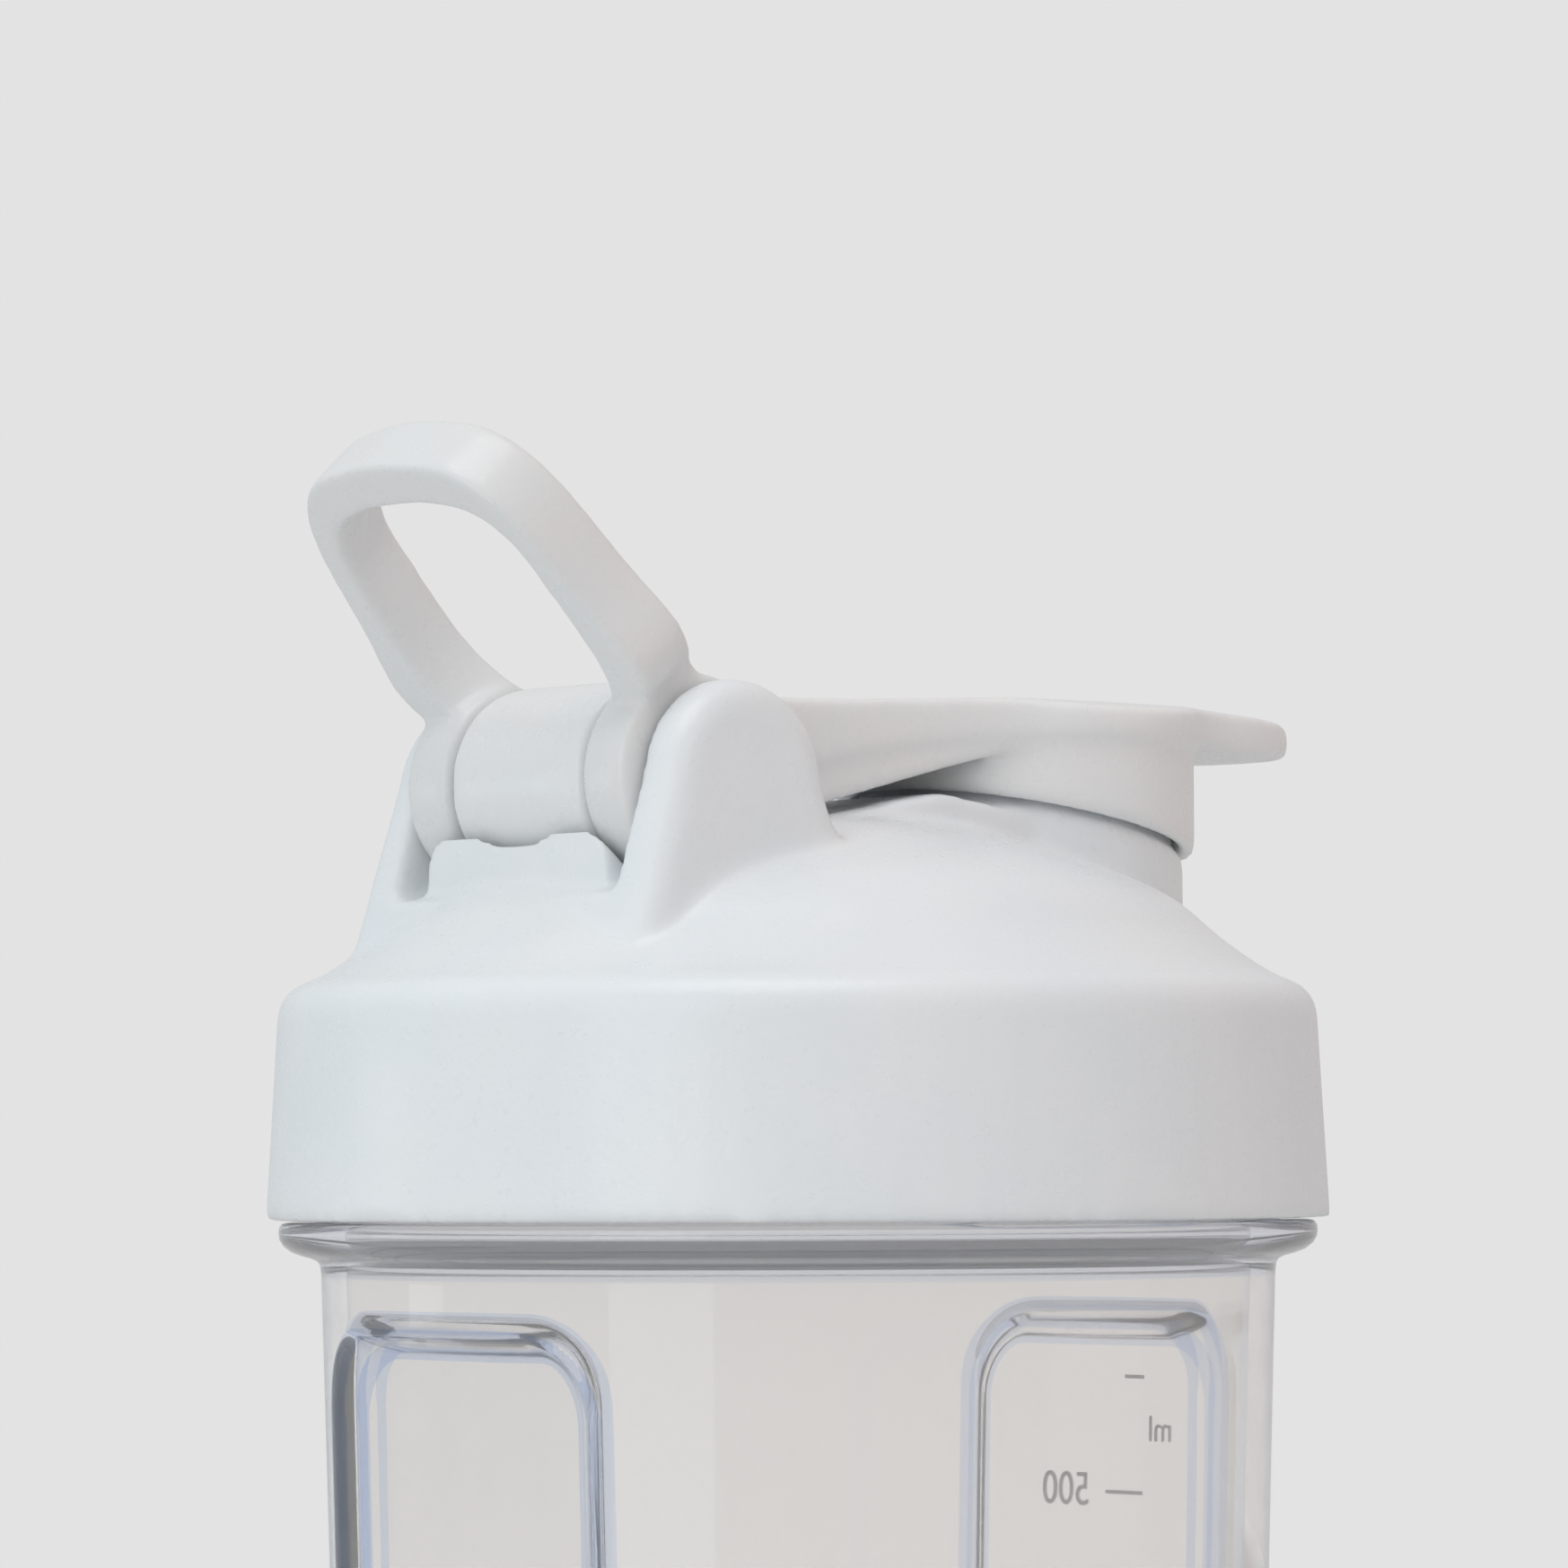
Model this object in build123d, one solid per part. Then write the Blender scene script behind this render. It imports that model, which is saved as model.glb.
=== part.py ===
from build123d import *
import math
import os

# Screw-lid shaker bottle: clear body, white lid with a drinking spout, a flip cap and a carry
# loop that share one hinge line, two soft seals and a loose wire whisk ball.
# Millimetres, +Z up. The origin is the centre of the base. The spout is on the -Y side and
# the hinge on the +Y side.

# ---- driving dimensions -------------------------------------------------------------------
WALL = 2.2  # body wall
BASE_R = 38.4  # outer radius at the base, cup-holder size
BASE_ROUND = 5.0
DRAFT = math.tan(math.radians(1.64))  # the body widens towards the top
SKIRT_Z = 148.0  # lower edge of the lid's skirt

FLANGE_R = 46.3
NECK_R = 42.6
RIM_Z = SKIRT_Z + 16.0
PITCH = 5.0  # single-start thread
THREAD_TURNS = 1.25

PANEL_OFFSET = 5.5  # depth of a grip panel's flat floor below the wall's crown
PANEL_HALF_W = 16.0
PANEL_Z = (28.0, SKIRT_Z - 11.6)  # floor of the panel, low and high edge
PANEL_SIDE_SLOPE = math.radians(24.0)
PANEL_END_SLOPE = math.radians(71.0)

LID_R = 47.4
LID_INNER_R = 44.6
LID_WALL = 2.0

HINGE_Y = 23.4
HINGE_Z = SKIRT_Z + 38.1
EAR_INNER = 15.7
BARREL_R = 8.8
BARREL_HALF = 9.2
STUB_R = 5.0
STUB_HALF = 17.5
STUB_GAP = 0.08

SPOUT_Y = -26.2
SPOUT_BORE_R = 12.5
SPOUT_NECK_R = 14.3
SPOUT_BASE_R = 15.4
SPOUT_TOP_Z = SKIRT_Z + 41.8
RIM_SLOPE = math.radians(11.3)  # the spout cap's rim dips towards the front
RIM_MID_Z = SKIRT_Z + 35.4
CAP_SKIRT_R = 16.5
CAP_PLATE_R = 17.3
CROWN_Z = 47.4  # highest point of the lever above the skirt

LOOP_LEAN = 42.0  # degrees behind upright, as it is parked
LOOP_REACH = 33.9  # hinge line to the middle of the top bar
LOOP_OFFSET = 2.6  # the arms run in front of the hinge line
LOOP_DEPTH = 6.8  # front to back
LOOP_BAR = 4.6  # thickness of the top bar

BALL_R = 24.0  # to the middle of the wire
WIRE_R = 0.85
BALL_HALF_TURNS = 13


# ---- helpers ------------------------------------------------------------------------------
def outline(*points):
    """A face from points (y, z) in the side view, joined by straight lines."""
    return Plane.YZ * make_face(Polyline(*points, close=True))


def across(face, half_width):
    """A side-view face drawn out to both sides of the middle plane."""
    return extrude(face, half_width, both=True)


def turned(points):
    """A solid of revolution about the bottle's axis from points (radius, z)."""
    return revolve(Plane.XZ * make_face(Polyline(*points, close=True)), Axis.Z)


def hinge_disc(radius, low, high):
    """A cylinder on the hinge line from x = low to x = high."""
    at = Plane((low, HINGE_Y, HINGE_Z), x_dir=(0, 1, 0), z_dir=(1, 0, 0))
    return extrude(at * Circle(radius), high - low)


def both_sides(part):
    return part + mirror(part, Plane.YZ)


def post(radius, y, low, high):
    return Pos(0, y, low) * extrude(Circle(radius), high - low)


def wall_r(z):
    """Outer radius of the plain body at a height."""
    return BASE_R + DRAFT * z


def thread(radius, depth, width, start_z, turns):
    """A helical rib. A positive depth stands out of radius, a negative one points inwards."""
    path = Helix(PITCH, PITCH * turns, radius, center=(0, 0, start_z))
    root, crest = 0.5 * width, 0.3 * width
    away = math.copysign(0.3, depth)
    section = Plane(path @ 0, x_dir=(1, 0, 0), z_dir=path % 0) * make_face(
        Polyline((-away, -root), (depth, -crest), (depth, crest), (-away, root), close=True)
    )
    return sweep(section, path=path, is_frenet=True)


# ---- bottle body --------------------------------------------------------------------------
def grip_panel(inset):
    """The cut for one grip panel on the +Y side, or with an inset the inside of its wall."""
    end = inset * math.tan(PANEL_END_SLOPE / 2)
    low, high = PANEL_Z[0] - end, PANEL_Z[1] + end
    middle = (low + high) / 2
    rise = 8.0 + inset
    run = rise / math.tan(PANEL_END_SLOPE)

    def floor(z):
        return wall_r(z) - PANEL_OFFSET - inset

    side_view = outline(
        (floor(low), low),
        (floor(high), high),
        (floor(high) + rise, high + run),
        (floor(low) + rise, low - run),
    )
    half = PANEL_HALF_W + inset * math.tan(PANEL_SIDE_SLOPE / 2)
    wide = half + rise / math.tan(PANEL_SIDE_SLOPE)
    tilt = math.atan(DRAFT)
    at = Plane((0, floor(middle), middle), x_dir=(1, 0, 0), z_dir=(0, math.sin(tilt), math.cos(tilt)))
    plan = at * make_face(Polyline((-half, 0), (half, 0), (wide, rise), (-wide, rise), close=True))
    return across(side_view, 60) & extrude(plan, 100, both=True)


def make_bottle_body():
    top = SKIRT_Z - 4.0
    body = turned(
        [(0, 0), (BASE_R, 0), (wall_r(top), top), (43.7, top + 0.6), (45.4, top + 1.3)]
        + [(FLANGE_R, top + 2.2), (FLANGE_R, top + 3.5), (FLANGE_R - 0.3, top + 3.8)]
        + [(NECK_R, top + 3.8), (NECK_R, RIM_Z), (0, RIM_Z)]
    )
    body = fillet(body.edges().filter_by(GeomType.CIRCLE).group_by(Axis.Z)[0], BASE_ROUND)
    floor = WALL + 0.4
    inner_r = NECK_R - WALL
    hollow = turned(
        [(0, floor), (BASE_R - WALL, floor), (wall_r(top) - WALL, top)]
        + [(inner_r, top + 2), (inner_r, RIM_Z + 1), (0, RIM_Z + 1)]
    )
    hollow = fillet(hollow.edges().filter_by(GeomType.CIRCLE).group_by(Axis.Z)[0], BASE_ROUND)
    for turn in (0, 180):
        body -= Rot(0, 0, turn) * grip_panel(0)
        hollow -= Rot(0, 0, turn) * grip_panel(WALL)
    body -= hollow
    body -= turned([(15, -1), (15, 0.8), (27, 0.8), (27, -1)])
    body += thread(NECK_R, 1.6, 2.0, SKIRT_Z + 5.6, THREAD_TURNS)
    return body


# ---- lid ----------------------------------------------------------------------------------
def lid_shape(skirt_r, top_r, drop, low_z):
    """The lid's skirt, shoulder and dome as one solid; drop lowers the top for the inside."""
    z = SKIRT_Z - drop
    reach = 40.4 - 0.4 * drop
    shoulder = SKIRT_Z + 20.6 - drop
    side = Polyline((skirt_r, low_z), (top_r, SKIRT_Z + 17.8 - drop))
    corner = ThreePointArc(
        (top_r, SKIRT_Z + 17.8 - drop),
        (top_r - 0.8, shoulder - 0.6),
        (top_r - 2.6, shoulder + 0.5),
    )
    crease = Spline(
        (top_r - 2.6, shoulder + 0.5),
        (reach, z + 23.0),
        (reach - 4.4, z + 26.5),
        tangents=[(-1.0, 0.35), (-0.8, 0.8)],
    )
    dome = Spline(
        (reach - 4.4, z + 26.5),
        (25.2, z + 31.9),
        (15.0, z + 35.0),
        (0, z + 36.1),
        tangents=[(-0.8, 0.8), (-1, 0)],
    )
    close = Polyline((0, z + 36.1), (0, low_z), (skirt_r, low_z))
    return revolve(Plane.XZ * make_face(side + corner + crease + dome + close), Axis.Z)


def hinge_block():
    """Solid of both ears in the side view, leaning in towards the top and rounded outside."""
    y, z = HINGE_Y, SKIRT_Z
    rear = Spline(
        (y + 12.4, z + 21.0),
        (y + 11.0, z + 25.5),
        (y + 8.5, z + 34.0),
        (y + 6.8, z + 40.0),
        tangents=[(-0.3, 1), (-0.2, 1)],
    )
    top = ThreePointArc((y + 6.8, z + 40.0), (y - 2.0, z + 46.5), (y - 10.3, z + 39.6))
    front = Spline(
        (y - 10.3, z + 39.6),
        (y - 11.6, z + 34.5),
        (y - 14.5, z + 29.5),
        tangents=[(-0.05, -1), (-0.6, -1)],
    )
    base = Polyline((y - 14.5, z + 29.5), (y - 14.5, z + 21.0), (y + 12.4, z + 21.0))
    block = across(Plane.YZ * make_face(rear + top + front + base), 22)
    lean = Plane.XZ * make_face(
        Polyline((-21.2, z + 21), (-19.8, z + 47), (19.8, z + 47), (21.2, z + 21), close=True)
    )
    block &= extrude(lean, 60, both=True)
    outer = block.edges().filter_by(lambda e: abs(e.center().X) > 18 and e.center().Z > z + 23)
    return fillet(outer, 2.6)


def make_screw_lid():
    z = SKIRT_Z
    lid = lid_shape(LID_R, 46.4, 0, z)
    ears = hinge_block() - Pos(0, 10, z + 28.1 + 20) * Box(2 * EAR_INNER, 70, 40)
    lid += ears
    rear_wall = Pos(0, HINGE_Y + 6, z + 29) * Box(25.6, 5.2, 9.2)
    rear_wall = fillet(rear_wall.edges().filter_by(Axis.Y).group_by(Axis.Z)[-1], 3.0)
    dip = Pos(0, HINGE_Y, z + 33.6 + 10.4) * Rot(90, 0, 0) * extrude(Circle(11.5), 20, both=True)
    lid += rear_wall - dip
    lid += post(SPOUT_BASE_R, SPOUT_Y, z + 22, z + 50) - above_rim(-0.3)
    deck = outline((13, z + 26), (13, z + 34.4), (6, z + 35.5), (-7, z + 37.8), (-18, z + 36.2), (-18, z + 26))
    lid += across(deck, 12.4)
    lid += post(SPOUT_NECK_R, SPOUT_Y, z + 30, SPOUT_TOP_Z)
    tub = hinge_disc(11.6, -EAR_INNER - 2, EAR_INNER + 2)
    pad = across(outline((24, z + 26), (-7, z + 33), (-7, z + 40), (24, z + 40)), 14.8)
    lid -= lid_shape(LID_INNER_R, LID_INNER_R - 0.4, LID_WALL, z - 1) - tub - pad
    lid -= hinge_disc(9.7, -EAR_INNER, EAR_INNER)
    lever_way = outline((16, z + 33.2), (-2, z + 36.8), (16, z + 36.8))
    lid -= across(lever_way, 12.8)
    lid -= post(SPOUT_BORE_R, SPOUT_Y, z, SPOUT_TOP_Z + 1)
    lid -= hinge_disc(STUB_R + STUB_GAP, -STUB_HALF - 0.3, STUB_HALF + 0.3)
    lid += thread(LID_INNER_R, -1.6, 1.9, z + 3.3, 1.1)
    return lid


def above_rim(lift):
    """Everything above the spout cap's sloping rim, raised by lift."""
    at = Plane(
        (0, SPOUT_Y, RIM_MID_Z + lift),
        x_dir=(1, 0, 0),
        z_dir=(0, -math.sin(RIM_SLOPE), math.cos(RIM_SLOPE)),
    )
    return extrude(at * Rectangle(80, 80), 60)


def make_lid_seal():
    """Soft ring between the body's rim and the lid."""
    return turned(
        [(39.4, RIM_Z + 0.1), (43.2, RIM_Z + 0.1), (43.2, RIM_Z + 1.2), (42.2, RIM_Z + 2.0)]
        + [(39.4, RIM_Z + 2.0)]
    )


# ---- flip cap -----------------------------------------------------------------------------
def cap_plan(inset):
    """The flip cap seen from above: lever, round spout cover and thumb tab."""
    root, waist = BARREL_HALF - inset, 10.8 - inset
    round_r = CAP_PLATE_R - inset
    tab, tip = 9.6 - inset, -56.6 + inset
    right = Spline(
        (root, HINGE_Y),
        (root, HINGE_Y - 9),
        (waist, 0),
        (round_r * 0.86, SPOUT_Y + round_r * 0.5),
        tangents=[(0, -1), (0.5, -0.86)],
    )
    bow = ThreePointArc(
        (round_r * 0.86, SPOUT_Y + round_r * 0.5),
        (round_r, SPOUT_Y),
        (round_r * 0.8, SPOUT_Y - round_r * 0.6),
    )
    neck = Spline(
        (round_r * 0.8, SPOUT_Y - round_r * 0.6),
        (tab + 1.6, SPOUT_Y - round_r - 3.5),
        (tab, tip + 5.5),
        (tab - 4.4, tip + 1.0),
        (0, tip),
        tangents=[(-0.6, -0.8), (-1, 0)],
    )
    left = mirror(right + bow + neck, Plane.YZ)
    close = Line((root, HINGE_Y), (-root, HINGE_Y))
    return extrude(make_face(right + bow + neck + left + close), 300)


def make_flip_cap():
    y, z = HINGE_Y, SKIRT_Z
    top = Spline(
        (y, z + 46.7), (8, z + 45.9), (-18, z + 46.7), (-40, z + 46.4), (-58, z + 45.3)
    )
    under = Spline((-58, z + 42.5), (-45, z + 42.6), (-8, z + 42.4), (6, z + 39.9), (14, z + 37.4))
    ends = Line((-58, z + 45.3), (-58, z + 42.5)) + Polyline((14, z + 37.4), (y, z + 36), (y, z + 46.7))
    side = Plane.YZ * make_face(top + under + ends)
    crown = ThreePointArc((-22, z + 44.8), (0, z + CROWN_Z), (22, z + 44.8)) + Polyline(
        (22, z + 44.8), (22, z + 30), (-22, z + 30), (-22, z + 44.8)
    )
    plate = across(side, 30) & cap_plan(0) & extrude(Plane.XZ * make_face(crown), 90, both=True)
    web = across(
        outline((y, z + 44), (y, z + 34), (13, z + 35.0), (6, z + 36.1), (-7, z + 39.6), (-20, z + 43)),
        30,
    )
    plate += web & (cap_plan(0.6) - cap_plan(2.4))
    plate += hinge_disc(BARREL_R, -BARREL_HALF, BARREL_HALF)
    skirt = post(CAP_SKIRT_R, SPOUT_Y, z + 25, z + 43.2) - post(14.9, SPOUT_Y, z + 20, z + 42.6)
    plate += skirt & above_rim(0)
    plate += post(8.0, SPOUT_Y, z + 39.6, z + 43.2)
    plate += hinge_disc(STUB_R, -STUB_HALF, STUB_HALF)
    return plate


def make_spout_seal():
    """Soft plug on the cap's boss: a cup whose rim fits inside the spout."""
    z = SKIRT_Z
    cup = post(11.9, SPOUT_Y, z + 37.4, z + 42.2)
    return cup - post(8.0, SPOUT_Y, z + 39.6, z + 43)


# ---- carry loop ---------------------------------------------------------------------------
def arch(side, top):
    """Points up one side, over the top and down the mirrored other side."""
    return side + [(0, top)] + [(-x, y) for x, y in reversed(side)]


def make_carry_loop():
    """Built upright in the hinge's own plane, then leaned back about the hinge line."""
    top_out, top_in = LOOP_REACH + LOOP_BAR / 2, LOOP_REACH - LOOP_BAR / 2
    knuckle_in, knuckle_out = BARREL_HALF + 0.3, EAR_INNER - 0.3
    out_side = [(knuckle_out, 8.2), (17.4, 12.4), (16.5, 17), (15.6, 22), (14.8, 26.8), (13.0, 31.4)]
    in_side = [(knuckle_in, 7.0), (12.3, 13), (12.3, 21), (11.6, 26.8), (9.3, 29.8)]
    outer = Spline(*arch(out_side + [(9.4, 34.7), (4.6, top_out - 0.4)], top_out))
    inner = Spline(*arch(in_side + [(5.5, top_in - 0.4)], top_in))
    feet = Polyline((knuckle_out, 8.2), (knuckle_out, 0), (knuckle_in, 0), (knuckle_in, 7.0))
    other_feet = Polyline((-knuckle_out, 8.2), (-knuckle_out, 0), (-knuckle_in, 0), (-knuckle_in, 7.0))
    upright = Plane((0, HINGE_Y - LOOP_OFFSET, HINGE_Z), x_dir=(1, 0, 0), z_dir=(0, -1, 0))
    arms = extrude(upright * make_face(outer + inner + feet + other_feet), LOOP_DEPTH / 2, both=True)
    loop = arms + both_sides(hinge_disc(BARREL_R + 0.2, knuckle_in, knuckle_out))
    loop -= hinge_disc(STUB_R + STUB_GAP, -30, 30)
    hinge = Axis((0, HINGE_Y, HINGE_Z), (1, 0, 0))
    return loop.rotate(hinge, -LOOP_LEAN)


# ---- whisk ball ---------------------------------------------------------------------------
def make_whisk_ball():
    """One wire wound into a ball: half turns that grow and shrink from pole to pole."""
    centre_z = WALL + 0.4 + 0.3 + BALL_R + WIRE_R
    points = []
    for i in range(BALL_HALF_TURNS + 1):
        angle = math.pi * (i + 0.35) / (BALL_HALF_TURNS + 0.7)
        side = 1 if i % 2 else -1
        points.append((side * BALL_R * math.sin(angle), centre_z - BALL_R * math.cos(angle)))
    wire = None
    for i, ((x0, z0), (x1, z1)) in enumerate(zip(points, points[1:])):
        radius = math.hypot(x1 - x0, z1 - z0) / 2
        bow = radius if i % 2 else -radius
        arc = ThreePointArc((x0, 0, z0), ((x0 + x1) / 2, bow, (z0 + z1) / 2), (x1, 0, z1))
        wire = arc if wire is None else wire + arc
    section = Plane(wire @ 0, z_dir=wire % 0) * Circle(WIRE_R)
    return sweep(section, path=wire)


MAKERS = {
    "bottle_body": make_bottle_body,
    "screw_lid": make_screw_lid,
    "lid_seal": make_lid_seal,
    "flip_cap": make_flip_cap,
    "spout_seal": make_spout_seal,
    "carry_loop": make_carry_loop,
    "whisk_ball": make_whisk_ball,
}

os.makedirs("parts", exist_ok=True)
for name, make in MAKERS.items():
    export_step(make(), f"parts/{name}.step")
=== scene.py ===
"""Looks of the shaker bottle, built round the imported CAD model. Metres, +Z up."""

import math

import bmesh
import bpy
import numpy as np
from mathutils import Matrix, Vector


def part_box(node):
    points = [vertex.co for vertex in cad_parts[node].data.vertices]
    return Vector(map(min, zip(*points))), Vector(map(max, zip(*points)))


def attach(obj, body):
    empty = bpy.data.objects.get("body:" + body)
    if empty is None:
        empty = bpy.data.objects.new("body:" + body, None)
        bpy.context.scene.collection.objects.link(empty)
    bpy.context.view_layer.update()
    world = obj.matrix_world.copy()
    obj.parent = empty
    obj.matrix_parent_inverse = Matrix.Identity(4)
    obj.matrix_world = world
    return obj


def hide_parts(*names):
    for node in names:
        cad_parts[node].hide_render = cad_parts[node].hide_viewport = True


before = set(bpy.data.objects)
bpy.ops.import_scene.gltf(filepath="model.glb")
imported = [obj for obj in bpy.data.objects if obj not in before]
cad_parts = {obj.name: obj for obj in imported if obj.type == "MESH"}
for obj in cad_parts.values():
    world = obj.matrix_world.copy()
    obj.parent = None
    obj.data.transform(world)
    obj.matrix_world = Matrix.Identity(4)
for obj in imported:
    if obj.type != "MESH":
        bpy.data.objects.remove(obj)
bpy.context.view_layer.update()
MM = 0.001

# ---- places and sizes read from the frame --------------------------------------------------
SKIRT_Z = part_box("screw_lid")[0].z
RIM_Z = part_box("bottle_body")[1].z

# ---- camera --------------------------------------------------------------------------------
VIEW_SIDE = math.radians(50.0)  # between the spout's direction and the view's
VIEW_DISTANCE = 0.630
LENS = 161.6  # focal length in mm, on a sensor 36 mm wide
VIEW_PITCH = math.radians(3.04)
VIEW_YAW = math.radians(0.10)
VIEW_ROLL = math.radians(0.22)
EYE_HEIGHT = SKIRT_Z + 5.4 * MM


def add_camera():
    """A long lens level with the lid's skirt, looking a little up, as in the photo."""
    away = Vector((math.sin(VIEW_SIDE), -math.cos(VIEW_SIDE), 0))
    right = Vector((-math.cos(VIEW_SIDE), -math.sin(VIEW_SIDE), 0))
    level = away * math.cos(VIEW_YAW) - right * math.sin(VIEW_YAW)
    forward = level * math.cos(VIEW_PITCH) + Vector((0, 0, math.sin(VIEW_PITCH)))
    data = bpy.data.cameras.new("camera")
    data.sensor_width = 36
    data.lens = LENS
    data.clip_start, data.clip_end = 0.01, 50
    camera = bpy.data.objects.new("camera", data)
    bpy.context.scene.collection.objects.link(camera)
    turn = Matrix.Rotation(VIEW_ROLL, 4, forward)
    look = turn @ forward.to_track_quat("-Z", "Y").to_matrix().to_4x4()
    camera.matrix_world = Matrix.Translation(Vector((0, 0, EYE_HEIGHT)) - away * VIEW_DISTANCE) @ look
    bpy.context.scene.camera = camera


# ---- materials -----------------------------------------------------------------------------
class Tree:
    """A node tree with short calls for the nodes it needs."""

    def __init__(self, tree):
        self.tree = tree

    def add(self, kind, **settings):
        node = self.tree.nodes.new(kind)
        for key, value in settings.items():
            setattr(node, key, value)
        return node

    def link(self, source, target):
        self.tree.links.new(source, target)

    def ramp(self, source, low, high, to_low, to_high):
        """source from low..high carried to to_low..to_high."""
        node = self.add("ShaderNodeMapRange")
        limits = {"From Min": low, "From Max": high, "To Min": to_low, "To Max": to_high}
        for key, value in limits.items():
            node.inputs[key].default_value = value
        self.link(source, node.inputs["Value"])
        return node.outputs["Result"]

    def combine(self, operation, first, second):
        """One value worked out from two."""
        node = self.add("ShaderNodeMath", operation=operation)
        self.link(first, node.inputs[0])
        self.link(second, node.inputs[1])
        return node.outputs["Value"]

    def mix_colour(self, factor, first, second):
        node = self.add("ShaderNodeMix", data_type="RGBA")
        node.inputs["A"].default_value = (*first, 1)
        node.inputs["B"].default_value = (*second, 1)
        self.link(factor, node.inputs["Factor"])
        return node.outputs["Result"]


class Nodes(Tree):
    """A material's node tree."""

    def __init__(self, name):
        self.material = bpy.data.materials.new(name)
        self.material.use_nodes = True
        super().__init__(self.material.node_tree)
        self.shader = self.tree.nodes["Principled BSDF"]
        self.place = self.add("ShaderNodeTexCoord").outputs["Object"]

    def noise(self, size, detail=3.0, stretch=(1, 1, 1)):
        """Noise whose lumps are about size metres across."""
        mapping = self.add("ShaderNodeMapping")
        mapping.inputs["Scale"].default_value = stretch
        self.link(self.place, mapping.inputs["Vector"])
        noise = self.add("ShaderNodeTexNoise")
        noise.inputs["Scale"].default_value = 1 / size
        noise.inputs["Detail"].default_value = detail
        self.link(mapping.outputs["Vector"], noise.inputs["Vector"])
        return noise.outputs["Fac"]

    def pebbles(self, size):
        """Rounded cells about size metres across."""
        cells = self.add("ShaderNodeTexVoronoi", feature="SMOOTH_F1")
        cells.inputs["Scale"].default_value = 1 / size
        cells.inputs["Smoothness"].default_value = 0.8
        self.link(self.place, cells.inputs["Vector"])
        return cells.outputs["Distance"]

    def varied(self, size, low, high, spread=0.2):
        """A value that wanders from low to high, in lumps about size metres across."""
        return self.ramp(self.noise(size), 0.5 - spread, 0.5 + spread, low, high)

    def mottled(self, size, first, second, spread=0.2):
        """A colour that wanders from first to second, in lumps about size metres across."""
        return self.mix_colour(self.varied(size, 0, 1, spread), first, second)

    def bump(self, height, distance, strength=1.0, after=None):
        node = self.add("ShaderNodeBump")
        node.inputs["Distance"].default_value = distance
        node.inputs["Strength"].default_value = strength
        self.link(height, node.inputs["Height"])
        if after is not None:
            self.link(after, node.inputs["Normal"])
        return node.outputs["Normal"]

    def finish(self, colour=None, roughness=None, normal=None, **sockets):
        if colour is not None:
            self.link(colour, self.shader.inputs["Base Color"])
        if roughness is not None:
            self.link(roughness, self.shader.inputs["Roughness"])
        if normal is not None:
            self.link(normal, self.shader.inputs["Normal"])
        for key, value in sockets.items():
            self.shader.inputs[key.replace("_", " ")].default_value = value
        return self.material


def textured_shell():
    """White polypropylene with the fine pebbled skin of the lid."""
    nodes = Nodes("lid_shell_white")
    colour = nodes.mottled(14 * MM, (0.79, 0.825, 0.85), (0.82, 0.84, 0.855), 0.15)
    rough = nodes.varied(1.2 * MM, 0.26, 0.36)
    coarse = nodes.bump(nodes.pebbles(0.7 * MM), 0.06 * MM, 0.30)
    normal = nodes.bump(nodes.noise(0.5 * MM, 1), 0.05 * MM, 0.35, after=coarse)
    return nodes.finish(colour, rough, normal, Specular_IOR_Level=0.5)


def smooth_shell(name, tone):
    """White polypropylene with a smooth satin skin."""
    nodes = Nodes(name)
    cool, warm = (tone * 0.985, tone, tone * 1.005), (tone, tone, tone * 0.995)
    colour = nodes.mottled(9 * MM, cool, warm, 0.15)
    rough = nodes.varied(2.5 * MM, 0.24, 0.34)
    flow = nodes.bump(nodes.noise(5 * MM, 2), 0.10 * MM, 0.12)
    normal = nodes.bump(nodes.noise(0.6 * MM, 2), 0.01 * MM, 0.10, after=flow)
    return nodes.finish(colour, rough, normal, Specular_IOR_Level=0.5)


def clear_plastic():
    """Clear copolyester: faintly warm, and blue where the wall bends or is seen edge on."""
    nodes = Nodes("body_clear")
    facing = nodes.add("ShaderNodeLayerWeight")
    facing.inputs["Blend"].default_value = 0.5
    edge = nodes.ramp(facing.outputs["Facing"], 0.80, 1.0, 0, 0.7)
    flat = nodes.add("ShaderNodeMath", operation="COMPARE")
    flat.inputs[1].default_value = 0.5  # the pointiness of a flat wall
    flat.inputs[2].default_value = 0.010
    nodes.link(nodes.add("ShaderNodeNewGeometry").outputs["Pointiness"], flat.inputs[0])
    bend = nodes.ramp(flat.outputs["Value"], 0, 1, 1, 0)
    split = nodes.add("ShaderNodeSeparateXYZ")
    nodes.link(nodes.place, split.inputs["Vector"])
    # bends are bluer in the wall than in the flange under the lid
    strength = nodes.ramp(split.outputs["Z"], SKIRT_Z - 7 * MM, SKIRT_Z - 4.5 * MM, 0.55, 0.18)
    blue = nodes.combine("MAXIMUM", edge, nodes.combine("MULTIPLY", bend, strength))
    colour = nodes.mix_colour(blue, (1.0, 0.985, 0.972), (0.36, 0.53, 0.88))
    rough = nodes.varied(6 * MM, 0.015, 0.045, 0.15)
    normal = nodes.bump(nodes.noise(11 * MM, 2, (1, 1, 0.35)), 0.12 * MM, 0.25)
    return nodes.finish(colour, rough, normal, Transmission_Weight=0.88, IOR=1.15,
                        Coat_Weight=0.5, Coat_IOR=1.5, Coat_Roughness=0.05)


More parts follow.
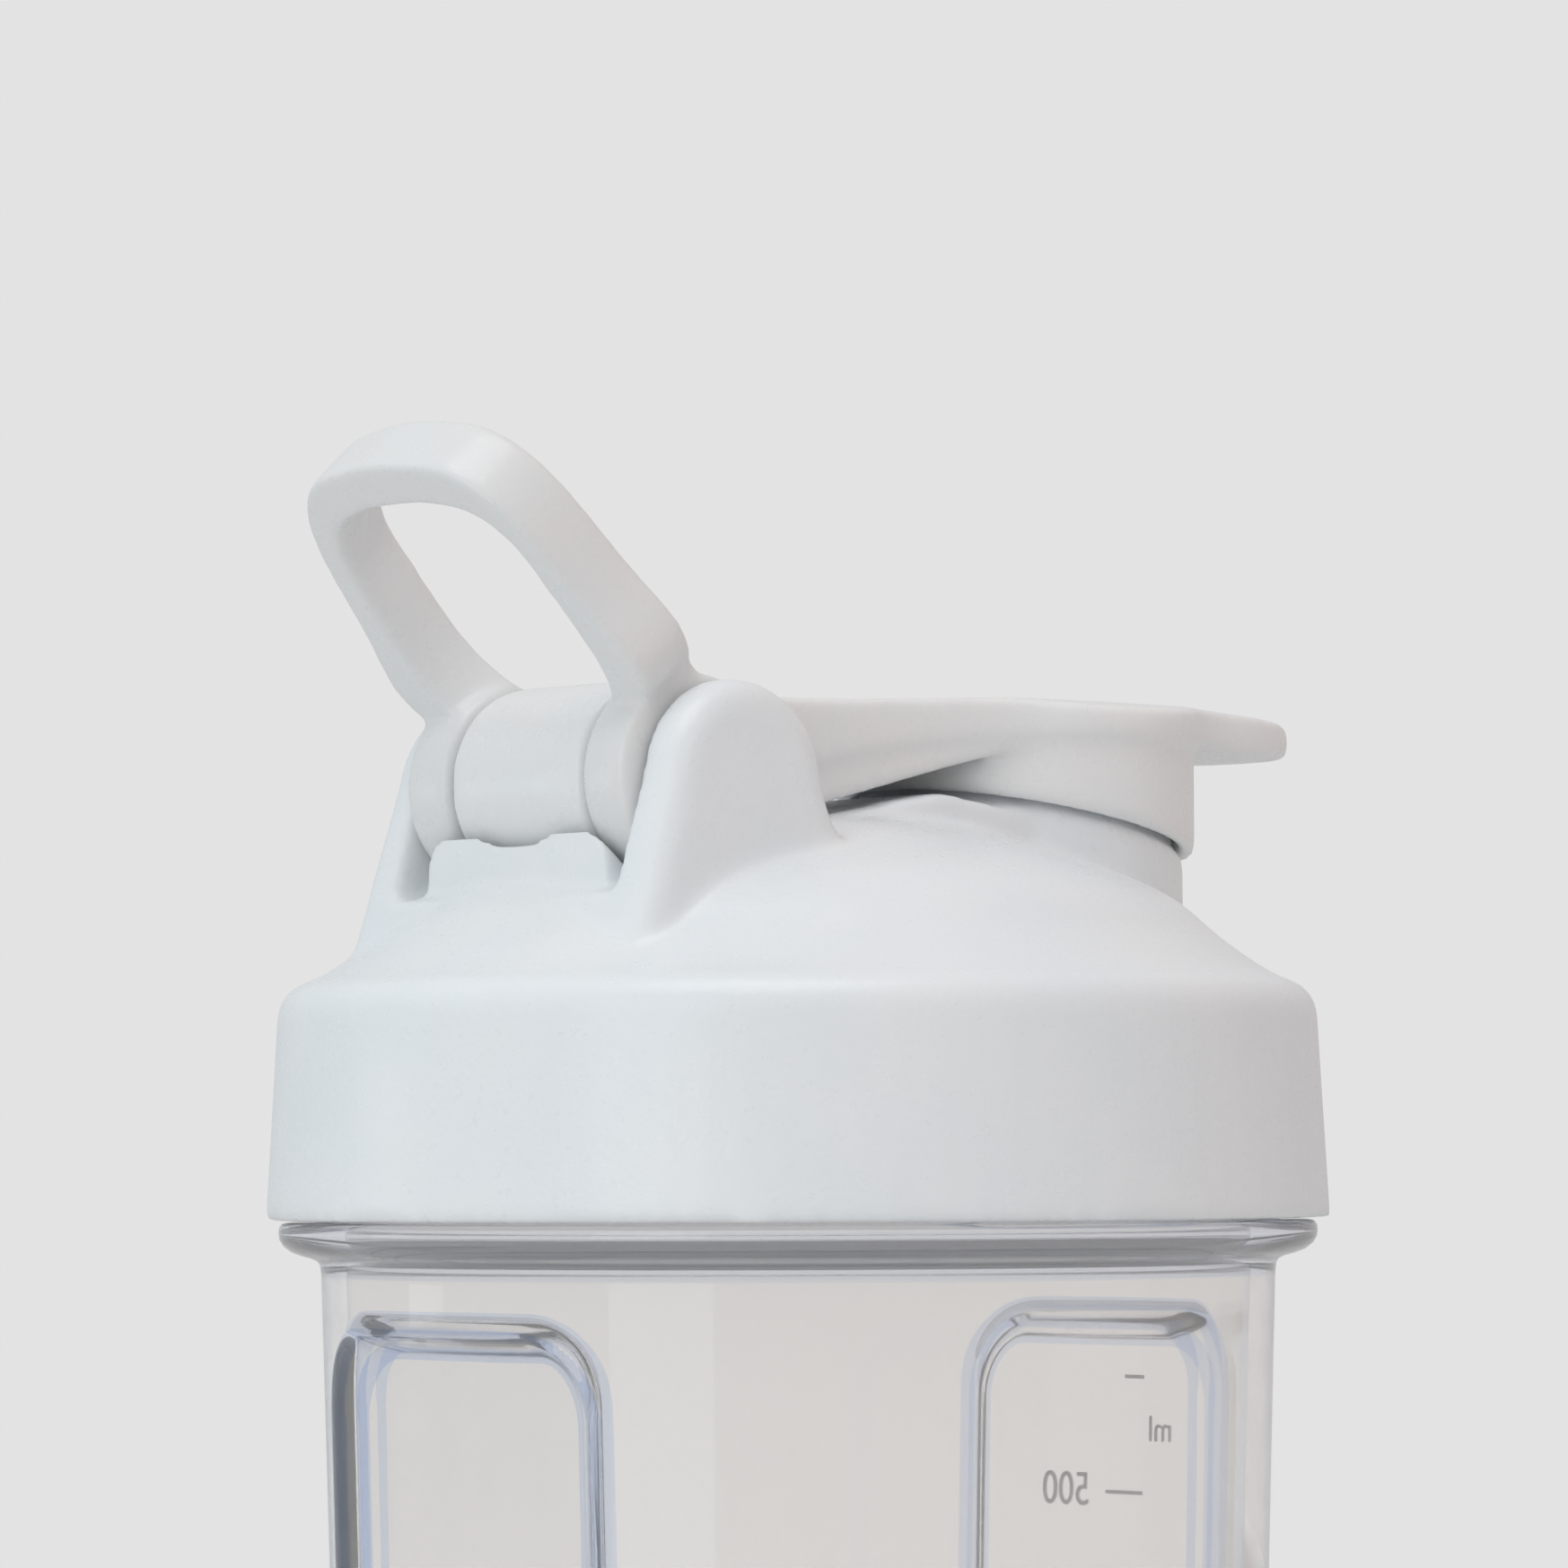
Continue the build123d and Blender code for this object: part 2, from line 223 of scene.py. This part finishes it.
def soft_elastomer():
    """The pale, matt rubber of both seals."""
    nodes = Nodes("seal_soft")
    colour = nodes.mottled(3 * MM, (0.66, 0.69, 0.71), (0.73, 0.75, 0.76))
    rough = nodes.varied(1.5 * MM, 0.55, 0.68)
    normal = nodes.bump(nodes.noise(0.3 * MM, 2), 0.03 * MM, 0.3)
    return nodes.finish(colour, rough, normal, Subsurface_Weight=0.1, Subsurface_Scale=0.003)


def steel_wire():
    """Bright drawn stainless steel."""
    nodes = Nodes("wire_steel")
    colour = nodes.mottled(2 * MM, (0.60, 0.60, 0.60), (0.72, 0.72, 0.71))
    rough = nodes.varied(0.8 * MM, 0.12, 0.24)
    normal = nodes.bump(nodes.noise(0.4 * MM, 2, (1, 1, 4)), 0.02 * MM, 0.3)
    return nodes.finish(colour, rough, normal, Metallic=1.0)


def frosted_marks():
    """The matt grey of the volume scale, darker than the clear wall behind it."""
    nodes = Nodes("marks_frosted")
    colour = nodes.mottled(1 * MM, (0.42, 0.45, 0.50), (0.50, 0.52, 0.56))
    rough = nodes.varied(0.5 * MM, 0.45, 0.6)
    return nodes.finish(colour, rough, nodes.bump(nodes.noise(0.25 * MM, 2), 0.02 * MM, 0.4))


def floor_paint():
    """Pale matt paint for the stage's floor."""
    nodes = Nodes("floor_pale")
    colour = nodes.mottled(0.2, (0.74, 0.74, 0.735), (0.77, 0.77, 0.765))
    rough = nodes.varied(0.02, 0.6, 0.7)
    return nodes.finish(colour, rough, nodes.bump(nodes.noise(0.004), 0.0002, 0.2))


# ---- helpers for pieces --------------------------------------------------------------------
def put(name, mesh, material, body, node=None, smooth=True):
    """Adds a piece that rides on a body and may stand for a CAD node."""
    mesh.materials.clear()
    mesh.materials.append(material)
    mesh.polygons.foreach_set("use_smooth", [smooth] * len(mesh.polygons))
    piece = bpy.data.objects.new(name, mesh)
    bpy.context.scene.collection.objects.link(piece)
    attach(piece, body)
    if node:
        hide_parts(node)


def final_mesh(work):
    """The mesh that a working object comes to. The object is removed."""
    bpy.context.scene.collection.objects.link(work)
    depsgraph = bpy.context.evaluated_depsgraph_get()
    mesh = bpy.data.meshes.new_from_object(work.evaluated_get(depsgraph))
    bpy.data.objects.remove(work)
    return mesh


def softened(node, voxel, passes):
    """A CAD node's mesh with every edge rounded, as it leaves an injection mould."""
    work = bpy.data.objects.new("work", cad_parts[node].data.copy())
    remesh = work.modifiers.new("remesh", "REMESH")
    remesh.mode = "VOXEL"
    remesh.voxel_size = voxel
    smooth = work.modifiers.new("smooth", "SMOOTH")
    smooth.factor = 0.5
    smooth.iterations = passes
    return final_mesh(work)


# ---- bottle body ---------------------------------------------------------------------------
BASE_R = 38.4 * MM
DRAFT = math.tan(math.radians(1.64))  # what the radius gains with height
WALL = 2.2 * MM
NECK_R = 42.6 * MM
BASE_ROUND = 5.0 * MM
PANEL_DEPTH = 5.5 * MM
PANEL_HALF_W = 16.0 * MM
PANEL_Z = (28.0 * MM, SKIRT_Z - 11.6 * MM)
PANEL_ROUND = 7.5 * MM
PANEL_SIDE_W = 2.7 * MM  # width of the slopes beside the panel
PANEL_END_W = 2.0 * MM  # and of those above and below it
PANEL_GROWTH = (0.15, 0.7)  # how much wider and taller the recess is inside, per unit of inset
FLANGE_LOW = SKIRT_Z - 4.0 * MM
FLOOR = WALL + 0.4 * MM
RING_POINTS = 480
WALL_STEP = 2.4 * MM
FINE_STEP = 0.32 * MM

# Outlines in mm, a radius with a height over the base, over the flange's foot or below the rim.
FOOT = ((15.0, 0.1), (15.4, 0.7), (16, 0.8), (21, 0.8), (26, 0.8), (26.6, 0.7), (27, 0.1), (27.4, 0))
FLANGE = ((42.62, 0.0), (42.85, 0.35), (43.4, 0.62), (44.3, 0.85), (45.2, 1.2), (45.9, 1.75),
          (46.22, 2.3), (46.3, 2.8), (46.26, 3.35), (46.0, 3.7), (45.6, 3.8), (43.0, 3.8))
RIM = ((42.6, 0.9), (42.4, 0.3), (42.0, 0.0), (41.0, 0.0), (40.6, 0.25), (40.4, 0.8))

THREAD_PITCH = 5.0 * MM
THREAD_START = SKIRT_Z + 5.6 * MM
THREAD_END = 2.5 * math.pi  # one turn and a quarter
THREAD_HALF_W = 1.0 * MM
THREAD_FLANK = 0.4 * MM
THREAD_RISE = 1.6 * MM
THREAD_FADE = 0.15  # radians over which each end of the rib runs out
THREAD_STEP = 0.4 * MM


def recess(angle, z, wall_radius, inset):
    """The wall's distance from the axis, pressed in at the two grip panels."""
    off = (angle + math.pi / 2) % math.pi - math.pi / 2
    across = np.abs(wall_radius * np.sin(off))
    low, high = PANEL_Z[0] - PANEL_END_W, PANEL_Z[1] + PANEL_END_W
    up = abs(z - (low + high) / 2)
    half_w = PANEL_HALF_W + PANEL_SIDE_W + PANEL_GROWTH[0] * inset
    half_h = (high - low) / 2 + PANEL_GROWTH[1] * inset
    out_x = np.maximum(across - (half_w - PANEL_ROUND), 0)
    out_z = np.maximum(up - (half_h - PANEL_ROUND), 0)
    reach = np.hypot(out_x, out_z)
    inside = np.minimum(half_w - across, half_h - up)
    depth = np.where((out_x > 0) & (out_z > 0), PANEL_ROUND - reach, inside)
    share = out_z**2 / (reach**2 + 1e-12)
    slope_w = PANEL_SIDE_W + (PANEL_END_W - PANEL_SIDE_W) * share
    step = np.clip(depth / slope_w, 0, 1)
    step = step * step * (3 - 2 * step)
    panel = (wall_radius - PANEL_DEPTH) / np.maximum(np.cos(off), 0.5)
    panel = np.minimum(panel, wall_radius)
    return wall_radius + (panel - wall_radius) * step - inset


def wall_heights(low, high):
    """Heights up the wall, closer together where the panels end."""
    knots = [low]
    while knots[-1] < high:
        near = min(abs(knots[-1] - z) for z in PANEL_Z)
        knots.append(knots[-1] + min(WALL_STEP, max(FINE_STEP, 0.25 * (near - 4 * MM))))
    knots[-1] = high
    return np.array(knots)


def thread_height(angle, z):
    """How far the helical rib stands out from the neck at a height."""
    total = np.zeros_like(angle)
    for turn in (0, 1):
        along = ((angle - math.pi / 2) % (2 * math.pi)) + turn * 2 * math.pi
        middle = THREAD_START + THREAD_PITCH * along / (2 * math.pi)
        rib = np.clip((THREAD_HALF_W - np.abs(z - middle)) / THREAD_FLANK, 0, 1)
        end = np.clip(np.minimum(along, THREAD_END - along) / THREAD_FADE, 0, 1)
        total = np.maximum(total, rib * end * THREAD_RISE)
    return total


def body_rows():
    """(radii, height) of each ring, from the outer base up, over the rim and down inside.

    The angles that the radii belong to come with them.
    """
    angles = np.linspace(0, 2 * math.pi, RING_POINTS, endpoint=False)
    rows = []

    def ring(radius, z):
        rows.append((np.full_like(angles, radius), z))

    def wall(z, inset):
        plain = np.full_like(angles, BASE_R + DRAFT * z)
        rows.append((recess(angles, z, plain, inset), z))

    for r in np.linspace(1, 14.6, 8) * MM:
        ring(r, 0)
    for r, up in FOOT:
        ring(r * MM, up * MM)
    centre = BASE_R + DRAFT * BASE_ROUND - BASE_ROUND
    for turn in np.linspace(0, math.pi / 2, 9):
        ring(centre + BASE_ROUND * math.sin(turn), BASE_ROUND * (1 - math.cos(turn)))
    heights = wall_heights(BASE_ROUND + 0.8 * MM, FLANGE_LOW - 1.0 * MM)
    for z in heights:
        wall(z, 0)
    for r, up in FLANGE:
        ring(r * MM, FLANGE_LOW + up * MM)
    ring(NECK_R + 0.1 * MM, FLANGE_LOW + 4.0 * MM)
    for z in np.arange(FLANGE_LOW + 4.6 * MM, RIM_Z - 1.2 * MM, THREAD_STEP):
        rows.append((NECK_R + thread_height(angles, z), z))
    for r, down in RIM:
        ring(r * MM, RIM_Z - down * MM)
    for z in np.linspace(RIM_Z - 2 * MM, FLANGE_LOW + 1 * MM, 12):
        ring(NECK_R - WALL, z)
    for z in heights[::-1]:
        wall(z, WALL)
    centre = BASE_R + DRAFT * FLOOR - WALL - BASE_ROUND
    for turn in np.linspace(math.pi / 2, 0, 9):
        ring(centre + BASE_ROUND * math.sin(turn), FLOOR + BASE_ROUND * (1 - math.cos(turn)))
    for r in np.linspace(27, 1, 12) * MM:
        ring(r, FLOOR)
    return rows, angles


def ring_mesh(name, rows, angles):
    """A closed mesh from rings of points, with a point at each pole."""
    count = len(angles)
    points = []
    for radius, z in rows:
        ring = np.stack([radius * np.sin(angles), -radius * np.cos(angles), np.full(count, z)], 1)
        points.append(ring)
    first = (0, 0, rows[0][1])
    last = (0, 0, rows[-1][1])
    verts = np.concatenate([*points, [first], [last]])
    faces = []
    for row in range(len(rows) - 1):
        a, b = row * count, (row + 1) * count
        faces += [(a + i, a + (i + 1) % count, b + (i + 1) % count, b + i) for i in range(count)]
    end = (len(rows) - 1) * count
    south, north = len(verts) - 2, len(verts) - 1
    faces += [((i + 1) % count, i, south) for i in range(count)]
    faces += [(end + i, end + (i + 1) % count, north) for i in range(count)]
    mesh = bpy.data.meshes.new(name)
    mesh.from_pydata(verts.tolist(), [], faces)
    mesh.update()
    return mesh


def add_body():
    rows, angles = body_rows()
    mesh = ring_mesh("clear_body", rows, angles)
    put("clear_body", mesh, clear_plastic(), "bottle", "bottle_body")


# ---- volume scale --------------------------------------------------------------------------
MARK_STEP_ML = 100  # between numbers, with a short tick half way
MARK_END_ML = 600  # the last tick is below this
ML_HEIGHT = 0.2125 * MM  # height that one millilitre adds
ZERO_HEIGHT = 16.3 * MM  # where the even spacing would put zero
TICK_X = -6.5 * MM
TICK_LONG = 5.0 * MM
TICK_SHORT = 2.6 * MM
TICK_THICK = 0.35 * MM
NUMBER_X = 0.7 * MM
NUMBER_SIZE = 4.4 * MM
UNIT_X = -10.5 * MM
UNIT_SIZE = 3.4 * MM
UNIT_LIFT = 5.8 * MM  # how far the unit stands above the number 500
MARK_RISE = 0.12 * MM
MARK_GAP = 0.02 * MM  # between the marks and the wall


def mark_height(ml):
    """Height of a volume's mark on the scale."""
    return ZERO_HEIGHT + ml * ML_HEIGHT


def add_scale():
    """Ticks and plain numbers on the floor of the grip panel under the spout."""
    shapes = []
    for ml in range(MARK_STEP_ML, MARK_END_ML, MARK_STEP_ML // 2):
        numbered = ml % MARK_STEP_ML == 0
        length = TICK_LONG if numbered else TICK_SHORT
        shapes.append(bar(TICK_X, mark_height(ml), length, TICK_THICK))
        if numbered:
            shapes.append(text(str(ml), NUMBER_SIZE, NUMBER_X, mark_height(ml)))
    shapes.append(text("ml", UNIT_SIZE, UNIT_X, mark_height(500) + UNIT_LIFT))
    whole = bmesh.new()
    for mesh in shapes:
        whole.from_mesh(mesh)
    for vert in whole.verts:
        panel = BASE_R + DRAFT * vert.co.z - PANEL_DEPTH
        vert.co.y = -(panel + MARK_GAP + vert.co.y)
    mesh = bpy.data.meshes.new("volume_scale")
    whole.to_mesh(mesh)
    put("volume_scale", mesh, frosted_marks(), "bottle", smooth=False)


def bar(x, z, length, thick):
    """A thin bar that starts at x and is centred on height z, with y from 0 to MARK_RISE."""
    mesh = bpy.data.meshes.new("bar")
    solid = bmesh.new()
    bmesh.ops.create_cube(solid, size=1)
    for vert in solid.verts:
        along, out, up = vert.co
        vert.co = Vector((x + (along + 0.5) * length, (out + 0.5) * MARK_RISE, z + up * thick))
    bmesh.ops.bevel(solid, geom=solid.edges[:], offset=0.04 * MM, segments=2, affect="EDGES")
    solid.to_mesh(mesh)
    return mesh


def text(words, size, x, z):
    """Lettering that starts at x and is centred on height z, with y from 0 to MARK_RISE."""
    curve = bpy.data.curves.new("text", "FONT")
    curve.body = words
    curve.size = size
    curve.extrude = MARK_RISE / 2
    curve.align_y = "CENTER"
    work = bpy.data.objects.new("text", curve)
    mesh = final_mesh(work)
    mesh.transform(Matrix.Translation((x, MARK_RISE / 2, z)) @ Matrix.Rotation(math.pi / 2, 4, "X"))
    return mesh


# ---- whisk ball ----------------------------------------------------------------------------
WIRE_R = 0.85 * MM
WIRE_INSET = 0.1 * MM  # how far the wire stays inside the CAD ball
WHISK_TURNS = 7
TURN_POINTS = 28


def add_whisk():
    """One steel wire wound as a spiral from pole to pole of a ball."""
    low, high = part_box("whisk_ball")
    centre = Vector((0, 0, (low.z + high.z) / 2))
    radius = (high.z - low.z) / 2 - WIRE_R - WIRE_INSET
    count = WHISK_TURNS * TURN_POINTS
    curve = bpy.data.curves.new("whisk_wire", "CURVE")
    curve.dimensions = "3D"
    curve.bevel_depth = WIRE_R
    curve.bevel_resolution = 5
    curve.use_fill_caps = True
    spline = curve.splines.new("POLY")
    spline.points.add(count)
    for i in range(count + 1):
        polar = math.pi * (0.025 + 0.95 * i / count)
        turn = 2 * math.pi * i / TURN_POINTS
        out = radius * math.sin(polar)
        up = -radius * math.cos(polar)
        point = centre + Vector((out * math.cos(turn), out * math.sin(turn), up))
        spline.points[i].co = (*point, 1)
    mesh = final_mesh(bpy.data.objects.new("work", curve))
    put("whisk_wire", mesh, steel_wire(), "whisk", "whisk_ball")


# ---- stage ---------------------------------------------------------------------------------
def area_light(name, size, power, colour, bearing, height, distance):
    """A softbox aimed at the lid, bearing degrees round from the camera to the viewer's left.

    height and distance are from the point it is aimed at. It isn't seen through the clear wall.
    """
    data = bpy.data.lights.new(name, "AREA")
    data.shape = "RECTANGLE"
    data.size, data.size_y = size
    data.energy = power
    data.color = colour
    light = bpy.data.objects.new(name, data)
    bpy.context.scene.collection.objects.link(light)
    toward_camera = math.atan2(math.cos(VIEW_SIDE), -math.sin(VIEW_SIDE))
    angle = toward_camera - math.radians(bearing)
    target = Vector((0, 0, SKIRT_Z + 20 * MM))
    offset = Vector((math.cos(angle) * distance, math.sin(angle) * distance, height))
    light.location = target + offset
    light.rotation_euler = (target - light.location).to_track_quat("-Z", "Y").to_euler()
    light.visible_transmission = False


def studio_world():
    """A plain backdrop; what lights the bottle is cooler on the left and weaker from below."""
    world = bpy.data.worlds.new("studio")
    world.use_nodes = True
    nodes = Tree(world.node_tree)
    path = nodes.add("ShaderNodeLightPath").outputs
    seen = nodes.combine("MAXIMUM", path["Is Camera Ray"], path["Is Transmission Ray"])
    split = nodes.add("ShaderNodeSeparateXYZ")
    nodes.link(nodes.add("ShaderNodeTexCoord").outputs["Generated"], split.inputs["Vector"])
    side = nodes.ramp(nodes.combine("ADD", split.outputs["X"], split.outputs["Y"]), -1, 1, 0, 1)
    tint = nodes.mix_colour(side, (0.59, 0.53, 0.515), (0.66, 0.70, 0.72))
    rise = nodes.ramp(split.outputs["Z"], -0.7, 0.8, 0.72, 1.12)
    fill = nodes.add("ShaderNodeVectorMath", operation="SCALE")
    nodes.link(tint, fill.inputs["Vector"])
    nodes.link(rise, fill.inputs["Scale"])
    shown = nodes.add("ShaderNodeMix", data_type="RGBA")
    shown.inputs["B"].default_value = (0.768, 0.768, 0.768, 1)
    nodes.link(seen, shown.inputs["Factor"])
    nodes.link(fill.outputs["Vector"], shown.inputs["A"])
    nodes.link(shown.outputs["Result"], nodes.tree.nodes["Background"].inputs["Color"])
    return world


def add_stage():
    """The floor, the world and four softboxes."""
    bpy.ops.mesh.primitive_circle_add(vertices=128, radius=1.8, fill_type="NGON")
    floor = bpy.context.object
    floor.name = "floor"
    floor.data.materials.append(floor_paint())
    bpy.context.scene.world = studio_world()
    bpy.context.scene.view_settings.view_transform = "Standard"
    area_light("key", (0.40, 0.90), 1.7, (0.88, 0.97, 1.0), 32, 0.0, 0.9)
    area_light("top", (0.7, 0.7), 3.0, (0.97, 0.99, 1.0), 15, 1.0, 0.4)
    area_light("side", (0.20, 0.16), 0.12, (0.86, 0.97, 1.0), 98, 0.0, 0.9)
    area_light("warm", (0.5, 0.5), 0.2, (1.0, 0.80, 0.74), -75, 0.1, 1.0)


# ---- build ---------------------------------------------------------------------------------
add_camera()
add_stage()
shell = textured_shell()
cap_white = smooth_shell("cap_white", 0.82)
loop_white = smooth_shell("loop_white", 0.77)
seal = soft_elastomer()
put("lid_shell", softened("screw_lid", 0.5 * MM, 14), shell, "lid", "screw_lid")
put("cap_moulding", softened("flip_cap", 0.28 * MM, 60), cap_white, "cap", "flip_cap")
put("loop_moulding", softened("carry_loop", 0.22 * MM, 130), loop_white, "loop", "carry_loop")
put("seal_ring", softened("lid_seal", 0.35 * MM, 4), seal, "seal_ring", "lid_seal")
put("spout_plug", softened("spout_seal", 0.3 * MM, 5), seal, "cap", "spout_seal")
add_body()
add_scale()
add_whisk()
